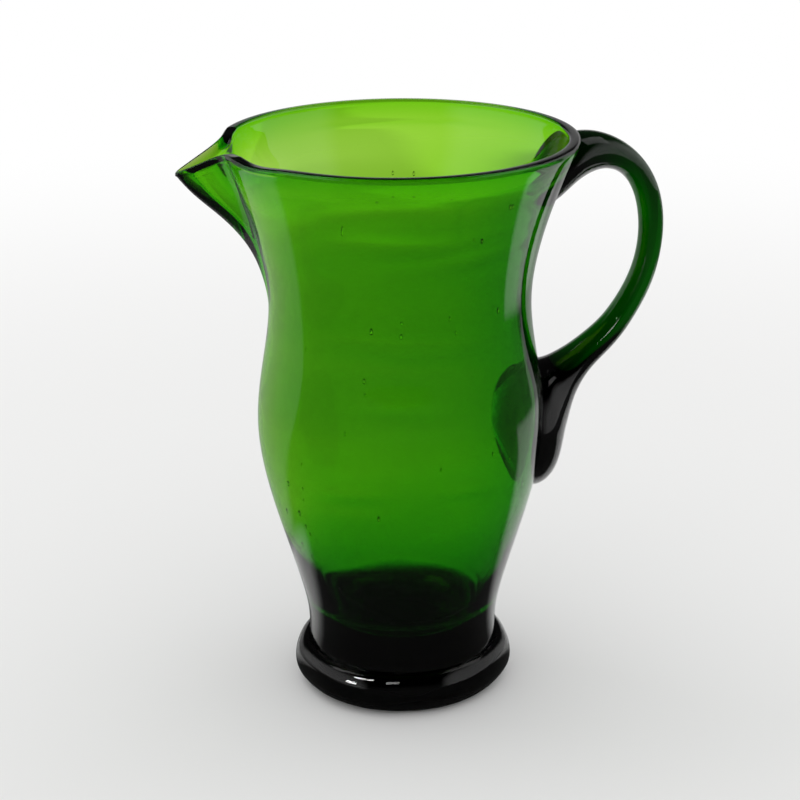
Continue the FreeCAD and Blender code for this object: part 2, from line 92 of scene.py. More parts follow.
# The low ridge on the hollow's far side: its drop below the lip, its sway, height and half breadth, and its
# middle and spread in degrees from the spout.
RIDGE_DROP, RIDGE_SWAY, RIDGE_HEIGHT, RIDGE_BREADTH = 0.0068, 0.0008, 0.00035, 0.0010
RIDGE_MIDDLE, RIDGE_SPREAD = -98, 38
# Where the wall's thickness starts and stops to vary round the jug, as shares of the jug's height.
UNEVEN_START = (0.17, 0.32)
UNEVEN_STOP = (0.90, 0.98)
# Shares by which the wall is thinner on the spout's side, thicker on the handle's and the near side, and
# thinned where the spout was pulled, with the angles between which that ends.
SPOUT_SIDE_THIN, HANDLE_SIDE_THICK, NEAR_SIDE_THICK, PULLED_THIN = 0.24, 0.15, 0.14, 0.35
PULLED_END = (math.radians(14), math.radians(58))
# The keel of the spout, as shares of the jug's height and of the spout's reach.
KEEL_SHARES = [
    (0.66, 0.5), (0.743, 0.593), (0.813, 0.678), (0.87, 0.801), (0.913, 0.925), (0.941, 0.988),
    (1.0, 1.1),
]
# The handle's sections, from inside the belly's wall up to the lip: place out from the belly and height,
# as shares of the handle's stand and rise, then thickness, width and the slope of its run in degrees.
PAD_ROWS = [
    (-0.239, 0.186, 1.0, 1.0, 8), (-0.123, 0.186, 1.0, 1.0, 8), (-0.017, 0.199, 0.92, 0.945, 9),
    (0.053, 0.224, 0.806, 0.843, 10), (0.11, 0.255, 0.66, 0.713, 11), (0.174, 0.29, 0.503, 0.574, 14),
    (0.243, 0.327, 0.365, 0.454, 20), (0.349, 0.368, 0.258, 0.361, 34),
]
ROD_ROWS = [
    (0.513, 0.415, 1.18, 1.375, 45), (0.656, 0.46, 1.1, 1.23, 47), (0.785, 0.518, 1.05, 1.1, 51),
    (0.914, 0.6, 1.01, 1.03, 64), (1.0, 0.722, 1.0, 1.0, 84), (0.995, 0.805, 1.03, 1.03, 96),
    (0.945, 0.874, 1.03, 1.08, 111), (0.845, 0.934, 1.05, 1.18, 134), (0.699, 0.977, 1.2, 1.38, 157),
    (0.538, 0.996, 1.48, 1.62, 168), (0.375, 0.993, 1.88, 2.0, 171), (0.245, 0.977, 2.28, 2.33, 172),
    (0.1, 0.954, 2.82, 2.5, 172), (-0.06, 0.945, 2.96, 2.56, 172), (-0.22, 0.942, 3.0, 2.58, 172),
]
# Where seeds lie in the wall: angle from the spout and its spread in degrees, height and its spread as
# shares of the jug's, and how many there are.
SEED_CLOUDS = [
    (33, 9, 0.37, 0.09, 12), (147, 7, 0.37, 0.08, 9), (124, 2, 0.925, 0.012, 2),
    (112, 3, 0.885, 0.02, 3), (-92, 2, 0.872, 0.002, 1), (90, 60, 0.6, 0.3, 10),
    (-90, 80, 0.55, 0.35, 12),
]
# How many times its width a seed is drawn out to, and how many points go round and up it.
SEED_DRAWN = 2.2
SEED_COLUMNS, SEED_ROWS = 8, 9
HANDLE_TURN = math.radians(8)
# The rod's row that stands furthest out, how finely the run is searched for the body's wall, and a rise that
# counts as none.
FURTHEST_ROW = 4
ENTRY_TRIES = 3000
NO_RISE = 1e-12
# In a level cut the spout is a V of this half angle, sharp at the lip and blunter where it leaves the wall.
SPOUT_HALF_ANGLE_TOP = math.radians(21)
SPOUT_HALF_ANGLE_LOW = math.radians(46)
# The round of the V's point, how much narrower the V is inside the wall, and how far round the spout reaches.
SPOUT_POINT = 0.03
SPOUT_NARROWING = 0.18
SPOUT_SECTOR = math.radians(80)
# Where the spout leaves the wall, and where its folds go from tight to wide, as shares of the jug's height.
SPOUT_ROOT = KEEL_SHARES[0][0]
FOLD_RANGE = (0.78, 0.96)
FOLD_TIGHT = 0.5
# The lip falls from this share of the rim's reach outwards, and sags at this angle, with this spread, in
# degrees. Its height is worked out in rounds, because the wall's reach changes with it.
LIP_FALL_START = 0.924
LIP_FALL_MOST = 1.1
LIP_DIP_ANGLE, LIP_DIP_SPREAD = 31, 11
LIP_ROUNDS = 40
# The lip's bead: where it starts below its middle as a share of its round, and how flat it is across and up.
BEAD_START = 0.55
BEAD_ACROSS, BEAD_UP = 0.45, 0.7
# Swells round the foot: size, how many go round, where they start, and how far they turn with the height.
FOOT_SWELLS = [(0.0005, 2, 0.7, 0), (0.0003, 3, -1.1, 0), (0.00022, 7, 0, 2), (0.00014, 11, 0.5, 0)]
# The belly's widest place lies below this share of the jug's height.
BELLY_BELOW = 0.7
# How strongly the glass bends light, and how often light may bounce in it.
GLASS_INDEX = 1.5
LIGHT_BOUNCES = 24
# Where the camera stood, what it was aimed at and how it was tilted.
CAMERA_PLACE = Vector((-0.08577, -0.75276, 0.40339))
CAMERA_AIM = Vector((-0.00027, 0, 0.12116))
CAMERA_ROLL = math.radians(0.42)
CAMERA_LENS = 90
CAMERA_SENSOR = 36
# Lamps: place, width, height and share of the key lamp's power. The windows light only the foot and handle.
LAMPS = {
    "key_lamp": ((-0.8, 0.5, 1.7), 1.0, 0.8, 1.0),
    "fill_lamp": ((0.9, 0.5, 1.7), 1.0, 0.8, 0.7),
    "window_left": ((-0.72, -0.48, 0.92), 0.20, 0.26, 1.20),
    "window_left_pane": ((-0.58, -0.64, 0.94), 0.10, 0.26, 0.60),
    "window_low": ((-0.83, -0.55, 0.27), 0.20, 0.16, 0.80),
    "window_front": ((-0.22, -1.10, 0.85), 0.24, 0.36, 0.40),
}
LAMP_AIM = Vector((0, 0, 0.1))
# Bounds of the floor's zones in metres. In reflections its near side is a painted dark reflection,
# apart from a painted bright reflection patch on each side.
NEAR_BOUND, NEAR_TURN = (0.04, 0.075), 0.40
LEFT_PATCH, LEFT_PATCH_END = (-0.060, -0.045), (0.11, 0.14)
RIGHT_PATCH, RIGHT_PATCH_END = (0.045, 0.060), (0.42, 0.55)
PATCH_FRONT = (0.0, 0.03)
# Through the glass it has painted shade close to the jug and a painted shadow behind it, with a gap far off
# on the handle's side.
PAINTED_SHADE_CLOSE_BOUND, PAINTED_SHADE_CLOSE_DARK = (0.055, 0.085), 0.95
SHADE_LEFT, SHADE_NEAR, SHADE_FAR = (-0.085, -0.065), (0.10, 0.34), (0.55, 0.95)
SHADE_NEAR_SHARE, SHADE_FAR_SHARE = 0.25, 0.4
GAP_NEAR, GAP_LEFT = (0.75, 0.85), (0.10, 0.14)
# Bounds of the room's zones, as parts of a direction: in reflections it is dim in front and above, and bright
# at both sides. Through the glass it is dark above.
FRONT_BOUND, FRONT_TURN = (0.05, 0.25), 0.6
LOW_BOUND, SIDE_BOUND = (0.12, 0.34), (0.55, 0.8)
ABOVE_BOUND, ABOVE_DARK = (0.10, 0.35), 0.95


def length(name, description, default):
    """A length property in metres."""
    return FloatProperty(name=name, description=description, default=default, unit="LENGTH", precision=4)


def amount(name, description, default):
    """A property for a strength that isn't below zero."""
    return FloatProperty(name=name, description=description, default=default, min=0)


def colour(name, description, default):
    """A colour property."""
    return FloatVectorProperty(
        name=name, description=description, default=default, subtype="COLOR", min=0, max=1)


class JugSizes(bpy.types.PropertyGroup):
    """Sizes of the jug; the overall ones come from the frame."""

    jug_height: length("Jug height", "From the floor to the top of the lip", BODY_HIGH.z)
    rim_reach: length("Rim reach", "From the axis to the outside of the lip", BODY_HIGH.y)
    spout_reach: length("Spout reach", "From the axis to the tip of the spout", -BODY_LOW.x)
    body_bottom: length("Body bottom", "Height of the body's underside in the foot", BODY_LOW.z)
    bottom_corner: length("Bottom corner", "Round of the body's lower edge", 0.007)
    hollow_floor: length("Hollow floor", "Height of the floor of the hollow", 0.026)
    floor_corner: length("Floor corner", "Round between the floor and the wall of the hollow", 0.012)
    belly_wall: length("Belly wall", "Thickness of the wall at the belly", 0.0038)
    lip_round: length("Lip round", "Radius of the fire-polished lip", 0.0015)
    spout_drop: length("Spout drop", "How far the lip falls from the creases to the tip", 0.0104)
    spout_wall: length("Spout wall", "Level thickness of the spout's wall at its keel", 0.0074)
    fold_round: length("Fold round", "Breadth over which the spout's folds are rounded", 0.009)
    lip_dip: length("Lip dip", "How far the lip sags beside the near crease", 0.0014)
    foot_reach: length("Foot reach", "From the axis to the foot's widest place", FOOT_HIGH.x)
    foot_height: length("Foot height", "Height of the foot's crest", FOOT_HIGH.z)
    foot_edge: length("Foot edge", "Round of the foot's lower edge", 0.009)
    rest_width: length("Resting ring", "Width of the ring that the foot rests on", 0.006)
    under_hollow: length("Under hollow", "Rise of the foot's underside inside the resting ring", 0.0016)
    pontil_radius: length("Pontil radius", "Radius of the ground hollow under the foot", 0.015)
    pontil_depth: length("Pontil depth", "Depth of the ground hollow under the foot", 0.0018)
    handle_stand: length("Handle stand", "How far the handle's run stands off the belly", 0.0472)
    handle_start: length("Handle start", "Height from which the handle's rise is measured", 0.0805)
    handle_rise: length("Handle rise", "Rise of the handle's run", 0.1385)
    rod_thickness: length("Rod thickness", "Thickness of the drawn rod", 0.0096)
    rod_width: length("Rod width", "Width of the drawn rod", 0.012)
    pad_height: length("Pad height", "Height of the lower pad", 0.0515)
    pad_width: length("Pad width", "Width of the lower pad", 0.054)
    seed_size: length("Seed size", "Width of a bubble in the wall", 0.0010)
    seam_depth: length("Seam depth", "How far a fused piece reaches into the body's wall", 0.0012)
    ripple: length("Ripple", "Height of the level ripples in the hollow's wall", 0.00022)
    wall_wave: length("Wall wave", "Height of the slow waves in the hollow's wall", 0.00007)


class JugFinish(bpy.types.PropertyGroup):
    """Colours and depths of the glass."""

    body_tint: colour("Body tint", "Colour that the body's glass lets through", (0.652, 0.886, 0.068))
    body_depth: amount("Body depth", "How strongly the body's glass absorbs light", 1080)
    handle_tint: colour("Handle tint", "Colour that the handle's glass lets through", (0.60, 0.86, 0.30))
    handle_depth: amount("Handle depth", "How strongly the handle's glass absorbs light", 1800)
    foot_tint: colour("Foot tint", "Colour that the foot's glass lets through", (0.58, 0.80, 0.40))
    foot_depth: amount("Foot depth", "How strongly the foot's glass absorbs light", 1500)


class JugStage(bpy.types.PropertyGroup):
    """The studio round the jug."""

    floor_colour: colour("Floor", "Colour of the floor", (0.84, 0.84, 0.835))
    floor_reach: length("Floor reach", "Radius of the floor", 5)
    fade_start: length("Fade start", "Where the floor starts to fade to the background", 0.35)
    fade_end: length("Fade end", "Where the floor is all background", 1.0)
    room_light: amount("Room light", "Strength of the soft light from all round", 0.95)
    front_shade: amount("Front shade", "Room on the viewer's side, in reflections", 0.05)
    # Painted reflection: the floor's near side is darker only in what the glass mirrors.
    painted_dim_front_floor: amount("Front floor", "Floor on the viewer's side, in reflections", 0.08)
    behind_mirrored: amount("Back in reflections", "What lies behind the jug, in reflections", 0.46)
    side_mirrored: amount("Sides in reflections", "Room at both sides, in reflections", 0.7)
    # Painted shadow: the floor behind the jug is darker only in what the glass lets through.
    painted_shadow_depth: amount("Shade behind", "Depth of the shade behind the jug, through the glass", 0.40)
    key_power: FloatProperty(
        name="Key lamp", description="Power of the main lamp", default=2.5, min=0, subtype="POWER")


# Curves and surfaces.


def smooth_curve(points, places):
    """Values at the given places of a smooth curve through (place, value) points, free at its ends."""
    x, y = np.array(points, float).T
    gaps = np.diff(x)
    slopes = np.diff(y) / gaps
    matrix = np.eye(len(x))
    bends = np.zeros(len(x))
    for i in range(1, len(x) - 1):
        matrix[i, i - 1:i + 2] = gaps[i - 1], 2 * (gaps[i - 1] + gaps[i]), gaps[i]
        bends[i] = 6 * (slopes[i] - slopes[i - 1])
    bends = np.linalg.solve(matrix, bends)
    places = np.asarray(places, float)
    i = np.clip(np.searchsorted(x, places) - 1, 0, len(x) - 2)
    inside = np.clip(places, x[0], x[-1]) - x[i]
    first = slopes[i] - gaps[i] * (2 * bends[i] + bends[i + 1]) / 6
    value = y[i] + first * inside + bends[i] * inside ** 2 / 2
    return value + (bends[i + 1] - bends[i]) * inside ** 3 / (6 * gaps[i])


def smooth_step(low, high, places):
    """A smooth rise from 0 at low to 1 at high."""
    share = np.clip((places - low) / (high - low), 0, 1)
    return share * share * (3 - 2 * share)


def smooth_most(first, second, blend):
    """The larger of two values, with the corner between them rounded over the blend."""
    near = np.clip(1 - np.abs(first - second) / blend, 0, 1)
    return np.maximum(first, second) + near * near * blend / 4


def turn_off(angle, middle, spread):
    """How many spreads an angle lies off a middle one; the middle and the spread are in degrees."""
    return np.angle(np.exp(1j * (angle - math.radians(middle)))) / math.radians(spread)


def flattened(value, power):
    """A value of at most one with its size raised to a power and its sign kept."""
    return math.copysign(abs(value) ** power, value)


class JugForm:
    """The jug's surfaces as functions of height and of the angle from the spout, in metres."""

    def __init__(self, sizes):
        self.sizes = sizes
        tall, rim = sizes.jug_height, sizes.rim_reach
        self.outside_points = [(h * tall, r * rim) for h, r in OUTSIDE_SHARES]
        self.wall_points = [(h * tall, w * sizes.belly_wall) for h, w in WALL_SHARES]
        self.keel_points = [(h * tall, k * sizes.spout_reach) for h, k in KEEL_SHARES]
        self.lip_height = tall - sizes.lip_round
        self.belly_radius = max(r for h, r in self.outside_points if h < BELLY_BELOW * tall)
        self.neck_radius = self.outside_points[0][1]

    def spout(self, angle, height, draw_in):
        """Level distance from the axis to the V of the spout, drawn in by the thickness of its wall."""
        keel = smooth_curve(self.keel_points, height) - draw_in
        low, high = self.keel_points[1][0], self.keel_points[-2][0]
        share = smooth_step(low, high, height)
        half = SPOUT_HALF_ANGLE_LOW + (SPOUT_HALF_ANGLE_TOP - SPOUT_HALF_ANGLE_LOW) * share
        half = half * (1 - SPOUT_NARROWING * draw_in / self.sizes.spout_wall)
        cot = 1 / np.tan(half)
        across = np.sqrt(np.sin(angle) ** 2 + SPOUT_POINT ** 2)
        reach = keel * (1 + cot * SPOUT_POINT) / (np.cos(angle) + cot * across)
        return np.where((np.abs(angle) < SPOUT_SECTOR) & (height > self.keel_points[0][0]), reach, 0)

    def fold(self, height):
        """Breadth over which the spout's folds are rounded, wide at the lip and tighter below."""
        share = smooth_step(*FOLD_RANGE, height / self.sizes.jug_height)
        return self.sizes.fold_round * (FOLD_TIGHT + (1 - FOLD_TIGHT) * share)

    def outside(self, angle, height):
        """The outside of the body's wall."""
        wall = smooth_curve(self.outside_points, height)
        return smooth_most(wall, self.spout(angle, height, 0), self.fold(height))

    def inside(self, angle, height):
        """The wall of the hollow, with the waves and ripples that blowing left in it."""
        thickness = smooth_curve(self.wall_points, height) * self.unevenness(angle, height)
        wall = smooth_curve(self.outside_points, height) - thickness + self.wave(angle, height)
        return smooth_most(wall, self.spout(angle, height, self.sizes.spout_wall), self.fold(height))

    def unevenness(self, angle, height):
        """Share of the wall's thickness: away from its ends it is thin towards the spout and the far side."""
        share = height / self.sizes.jug_height
        middle = smooth_step(*UNEVEN_START, share) * (1 - smooth_step(*UNEVEN_STOP, share))
        pulled = 1 - smooth_step(*PULLED_END, np.abs(angle))
        lean = np.cos(angle)
        thin = np.where(lean > 0, SPOUT_SIDE_THIN, HANDLE_SIDE_THICK) * lean + PULLED_THIN * pulled
        return 1 - middle * (thin - NEAR_SIDE_THICK * np.sin(angle))

    def wave(self, angle, height):
        """Slow waves that fade out at the lip and the floor, level ripples, and a ridge on the far side."""
        share = height / self.sizes.jug_height
        slow, ripples = 0, 0
        for strength, waves, sway, sways, start, fine_sway, lift in SLOW_WAVES:
            turned = sway * np.sin(sways * angle + start) + fine_sway * np.sin(3 * angle)
            slow = slow + strength * np.sin(2 * math.pi * (waves * share + turned + lift))
        fade = smooth_step(*WAVE_START, share) * (1 - smooth_step(*WAVE_STOP, share))
        for centre, middle, spread, breadth, count in RIPPLES:
            across = (share - centre - RIPPLE_SWAY * np.sin(3 * angle + 7 * centre)) / breadth
            off = turn_off(angle, middle, spread)
            ripples = ripples + np.sin(math.pi * count * across) * np.exp(-across ** 2 - off ** 2)
        ridge_height = self.lip_height - RIDGE_DROP + RIDGE_SWAY * np.sin(2 * angle + 1)
        off = turn_off(angle, RIDGE_MIDDLE, RIDGE_SPREAD)
        ridge = RIDGE_HEIGHT * np.exp(-((height - ridge_height) / RIDGE_BREADTH) ** 2 - off ** 4)
        return self.sizes.wall_wave * slow * fade + self.sizes.ripple * ripples - ridge

    def lip(self, angle):
        """Height of the lip's middle: it falls evenly along the spout and sags beside the near crease."""
        sizes = self.sizes
        start, tip = LIP_FALL_START * sizes.rim_reach, sizes.spout_reach - sizes.lip_round
        sag = sizes.lip_dip * np.exp(-((np.degrees(angle) - LIP_DIP_ANGLE) / LIP_DIP_SPREAD) ** 2)
        height = self.lip_height - sag
        for _ in range(LIP_ROUNDS):
            out = self.outside(angle, height) * np.cos(angle)
            fall = sizes.spout_drop * np.clip((out - start) / (tip - start), 0, LIP_FALL_MOST)
            height = (height + self.lip_height - sag - fall) / 2
        return height


def place(angle, radius, height):
    """Points of the jug from angle off the spout, distance from the axis and height."""
    angle, radius, height = np.broadcast_arrays(angle, radius, height)
    return np.stack([-radius * np.cos(angle), -radius * np.sin(angle), height], axis=-1)


def round_grid_faces(rows, columns):
    """Faces of a grid that closes round on itself."""
    faces = []
    for row in range(rows - 1):
        for column in range(columns):
            after = (column + 1) % columns
            low, high = row * columns, (row + 1) * columns
            faces.append((low + column, low + after, high + after, high + column))
    return faces


def make_piece(name, points, faces, material, node):
    """A shaded mesh piece that rides on the jug and stands for one of the frame's nodes."""
    mesh = bpy.data.meshes.new(name)
    mesh.from_pydata([tuple(p) for p in points], [], faces)
    if mesh.validate():
        raise RuntimeError(name + " has broken faces")
    mesh.polygons.foreach_set("use_smooth", [True] * len(mesh.polygons))
    mesh.materials.append(material)
    piece = bpy.data.objects.new(name, mesh)
    bpy.context.scene.collection.objects.link(piece)
    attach(piece, "root")
    if node:
        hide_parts(node)
    return piece


def add_seam(piece, depths):
    """Keep how deep each point lies in the piece that it is fused to; on the outside it is below zero."""
    seam = piece.data.attributes.new("seam", "FLOAT", "POINT")
    seam.data.foreach_set("value", np.asarray(depths, np.float32))


def closed_rings(rings, faces_flipped=False):
    """Points and faces of rings closed by a point at each end; rings is a list of point arrays."""
    columns = len(rings[0])
    points = np.concatenate(rings)
    faces = round_grid_faces(len(rings), columns)
    first, last = len(points), len(points) + 1
    points = np.vstack([points, rings[0].mean(axis=0), rings[-1].mean(axis=0)])
    end = (len(rings) - 1) * columns
    for column in range(columns):
        after = (column + 1) % columns
        faces.append((first, after, column))
        faces.append((last, end + column, end + after))
    if faces_flipped:
        faces = [face[::-1] for face in faces]
    return points, faces


# The handle's run.


class HandleRun:
    """The drawn handle as a smooth run of oval sections in its own upright plane."""

    def __init__(self, form):
        self.form = form
        sizes = form.sizes
        rows = [(*row, sizes.pad_height, sizes.pad_width) for row in PAD_ROWS]
        rows += [(*row, sizes.rod_thickness, sizes.rod_width) for row in ROD_ROWS]
        table = np.array(rows, float)
        out = form.belly_radius + table[:, 0] * sizes.handle_stand
        rise = sizes.handle_start + table[:, 1] * sizes.handle_rise
        steps = np.hypot(np.diff(out), np.diff(rise))
        along = np.concatenate([[0], np.cumsum(steps)])
        self.along = along
        values = (out, rise, table[:, 2] * table[:, 5], table[:, 3] * table[:, 6], np.radians(table[:, 4]))
        self.curves = [list(zip(along, value)) for value in values]

    def point(self, along, around):
        """Points of the handle's skin at places along its run and angles around its sections."""
        out, rise, thick, wide, slope = (smooth_curve(curve, along) for curve in self.curves)
        across = wide / 2 * np.sin(around)
        up = thick / 2 * np.cos(around)
        x = out - up * np.sin(slope)
        z = rise + up * np.cos(slope)
        turned_x = x * math.cos(HANDLE_TURN) - across * math.sin(HANDLE_TURN)
        turned_y = x * math.sin(HANDLE_TURN) + across * math.cos(HANDLE_TURN)
        return np.stack([turned_x, turned_y, z], axis=-1)

    def depth(self, points):
        """How deep points lie inside the outside of the body; outside it is below zero."""
        angle = np.arctan2(-points[..., 1], -points[..., 0])
        reach = np.hypot(points[..., 0], points[..., 1])
        return self.form.outside(angle, np.minimum(points[..., 2], self.form.lip_height)) - reach

    def entry(self, around, depth, upper):
        """Where along its run each line of the skin reaches the given depth in the body's wall."""
        middle = self.along[len(PAD_ROWS) + FURTHEST_ROW]
        end = self.along[-1] if upper else self.along[0]
        tries = np.linspace(middle, end, ENTRY_TRIES)
        found = []
        for angle in around:
            depths = self.depth(self.point(tries, angle)) - depth
            inside = np.flatnonzero(depths > 0)
            if not len(inside):
                raise RuntimeError("the handle doesn't reach the body")
            k = max(inside[0], 1)
            share = depths[k - 1] / (depths[k - 1] - depths[k])
            found.append(tries[k - 1] + share * (tries[k] - tries[k - 1]))
        return np.array(found)


def outline_depth(points, outline):
    """How deep flat points lie inside a closed flat outline; outside it is below zero."""
    following = np.roll(outline, -1, axis=0)
    nearest = np.full(len(points), np.inf)
    crossings = np.zeros(len(points), int)
    for start, stop in zip(outline, following):
        run = stop - start
        share = np.clip(((points - start) @ run) / (run @ run), 0, 1)
        nearest = np.minimum(nearest, np.linalg.norm(points - start - share[:, None] * run, axis=1))
        spans = (start[1] > points[:, 1]) != (stop[1] > points[:, 1])
        rise = run[1] if abs(run[1]) > NO_RISE else NO_RISE
        crossings += spans & (points[:, 0] < start[0] + (points[:, 1] - start[1]) * run[0] / rise)
    return np.where(crossings % 2 == 1, nearest, -nearest)


# Materials.


def add_group(name, sockets_in, sockets_out):
    """An empty shader node group with named number sockets."""
    group = bpy.data.node_groups.new(name, "ShaderNodeTree")
    for socket_name, default in sockets_in:
        socket = group.interface.new_socket(socket_name, in_out="INPUT", socket_type="NodeSocketFloat")
        socket.default_value = default
    for socket_name in sockets_out:
        group.interface.new_socket(socket_name, in_out="OUTPUT", socket_type="NodeSocketFloat")
    return group, group.nodes.new("NodeGroupInput"), group.nodes.new("NodeGroupOutput")


def maths(tree, operation, *values):
    """A maths node; each value is a number or a socket."""
    node = tree.nodes.new("ShaderNodeMath")
    node.operation = operation
    for socket, value in zip(node.inputs, values):
        if isinstance(value, (int, float)):
            socket.default_value = value
        else:
            tree.links.new(value, socket)
    return node.outputs[0]


def times(tree, *values):
    """The product of numbers or sockets."""
    product = values[0]
    for value in values[1:]:
        product = maths(tree, "MULTIPLY", product, value)
    return product


def rest_of(tree, share):
    """What a share leaves of one."""
    return maths(tree, "SUBTRACT", 1.0, share)


def noise(tree, vector, scale, detail):
    """A noise texture's value."""
    node = tree.nodes.new("ShaderNodeTexNoise")
    node.inputs["Detail"].default_value = detail
    node.inputs["Scale"].default_value = scale
    tree.links.new(vector, node.inputs["Vector"])
    return node.outputs["Fac"]


def split(tree, vector):
    """The three parts of a vector."""
    node = tree.nodes.new("ShaderNodeSeparateXYZ")
    tree.links.new(vector, node.inputs["Vector"])
    return node.outputs


def place_group(tree, group, values):
    """A node group in a material, with its own values."""
    node = tree.nodes.new("ShaderNodeGroup")
    node.node_tree = group
    for name, value in values.items():
        node.inputs[name].default_value = value
    return node.outputs[0]


def ramp(tree, value, start, stop, low, high):
    """A smooth change from low to high while a value goes from start to stop."""
    node = tree.nodes.new("ShaderNodeMapRange")
    node.interpolation_type = "SMOOTHSTEP"
    for name, number in (("From Min", start), ("From Max", stop), ("To Min", low), ("To Max", high)):
        node.inputs[name].default_value = number
    tree.links.new(value, node.inputs["Value"])
    return node.outputs["Result"]


def ripple_group():
    """Slow ripples and level striae of hand-blown glass, as a height in metres."""
    group, given, result = add_group(
        "blown_ripple", [("Ripple", 0.0001), ("Striae", 0.00002)], ["Height"])
    where = group.nodes.new("ShaderNodeTexCoord").outputs["Object"]
    flat = group.nodes.new("ShaderNodeMapping")
    flat.inputs["Scale"].default_value = (0.25, 0.25, 1.0)
    group.links.new(where, flat.inputs["Vector"])
    slow = noise(group, where, 22.0, 1.0)
    fine = noise(group, flat.outputs["Vector"], 160.0, 2.0)
    ripple = times(group, slow, given.outputs["Ripple"])
    striae = times(group, fine, given.outputs["Striae"])
    group.links.new(maths(group, "ADD", ripple, striae), result.inputs["Height"])
    return group


def wear_group():
    """Fine rubs and a film of handling, as a roughness."""
    group, given, result = add_group(
        "handling_wear", [("Wear", 0.02), ("Rub height", 0.0), ("Rub", 0.0)], ["Roughness"])
    where = group.nodes.new("ShaderNodeTexCoord").outputs["Object"]
    film = maths(group, "POWER", noise(group, where, 60.0, 4.0), 3.0)
    film = times(group, film, given.outputs["Wear"])
    below = maths(group, "SUBTRACT", given.outputs["Rub height"], split(group, where)["Z"])
    rubbed = times(group, maths(group, "GREATER_THAN", below, 0.0), given.outputs["Rub"])
    group.links.new(maths(group, "ADD", film, rubbed), result.inputs["Roughness"])
    return group


def clear_glass(name, wear):
    """A clear glass material with a film of handling, its shader and its node tree."""
    material = bpy.data.materials.new(name)
    material.use_nodes = True
    tree = material.node_tree
    shader = tree.nodes["Principled BSDF"]
    shader.inputs["Base Color"].default_value = (1, 1, 1, 1)
    shader.inputs["Transmission Weight"].default_value = 1.0
    shader.inputs["IOR"].default_value = GLASS_INDEX
    shader.inputs["Metallic"].default_value = 0.0
    tree.links.new(place_group(tree, shared_groups()["wear"], wear), shader.inputs["Roughness"])
    return material, shader, tree


def glass_material(name, tint, depth, ripple, wear):
    """Glass that takes its colour from its thickness and shows no wall inside a fused seam."""
    material, shader, tree = clear_glass(name, wear)
    bump = tree.nodes.new("ShaderNodeBump")
    bump.inputs["Strength"].default_value = 1.0
    bump.inputs["Distance"].default_value = 1.0
    tree.links.new(place_group(tree, shared_groups()["ripple"], ripple), bump.inputs["Height"])
    tree.links.new(bump.outputs["Normal"], shader.inputs["Normal"])
    seam = tree.nodes.new("ShaderNodeAttribute")
    seam.attribute_name = "seam"
    fused = maths(tree, "GREATER_THAN", seam.outputs["Fac"], 0.0)
    through = tree.nodes.new("ShaderNodeBsdfTransparent")
    mix = tree.nodes.new("ShaderNodeMixShader")
    tree.links.new(fused, mix.inputs["Fac"])
    tree.links.new(shader.outputs["BSDF"], mix.inputs[1])
    tree.links.new(through.outputs["BSDF"], mix.inputs[2])
    inside = tree.nodes.new("ShaderNodeVolumeAbsorption")
    inside.inputs["Color"].default_value = (*tint, 1)
    inside.inputs["Density"].default_value = depth
    output = tree.nodes["Material Output"]
    tree.links.new(mix.outputs["Shader"], output.inputs["Surface"])
    tree.links.new(inside.outputs["Volume"], output.inputs["Volume"])
    return material


def shared_groups():
    """The node groups that the glass materials share, made once."""
    return {
        "ripple": bpy.data.node_groups.get("blown_ripple") or ripple_group(),
        "wear": bpy.data.node_groups.get("handling_wear") or wear_group(),
    }


# Pieces.


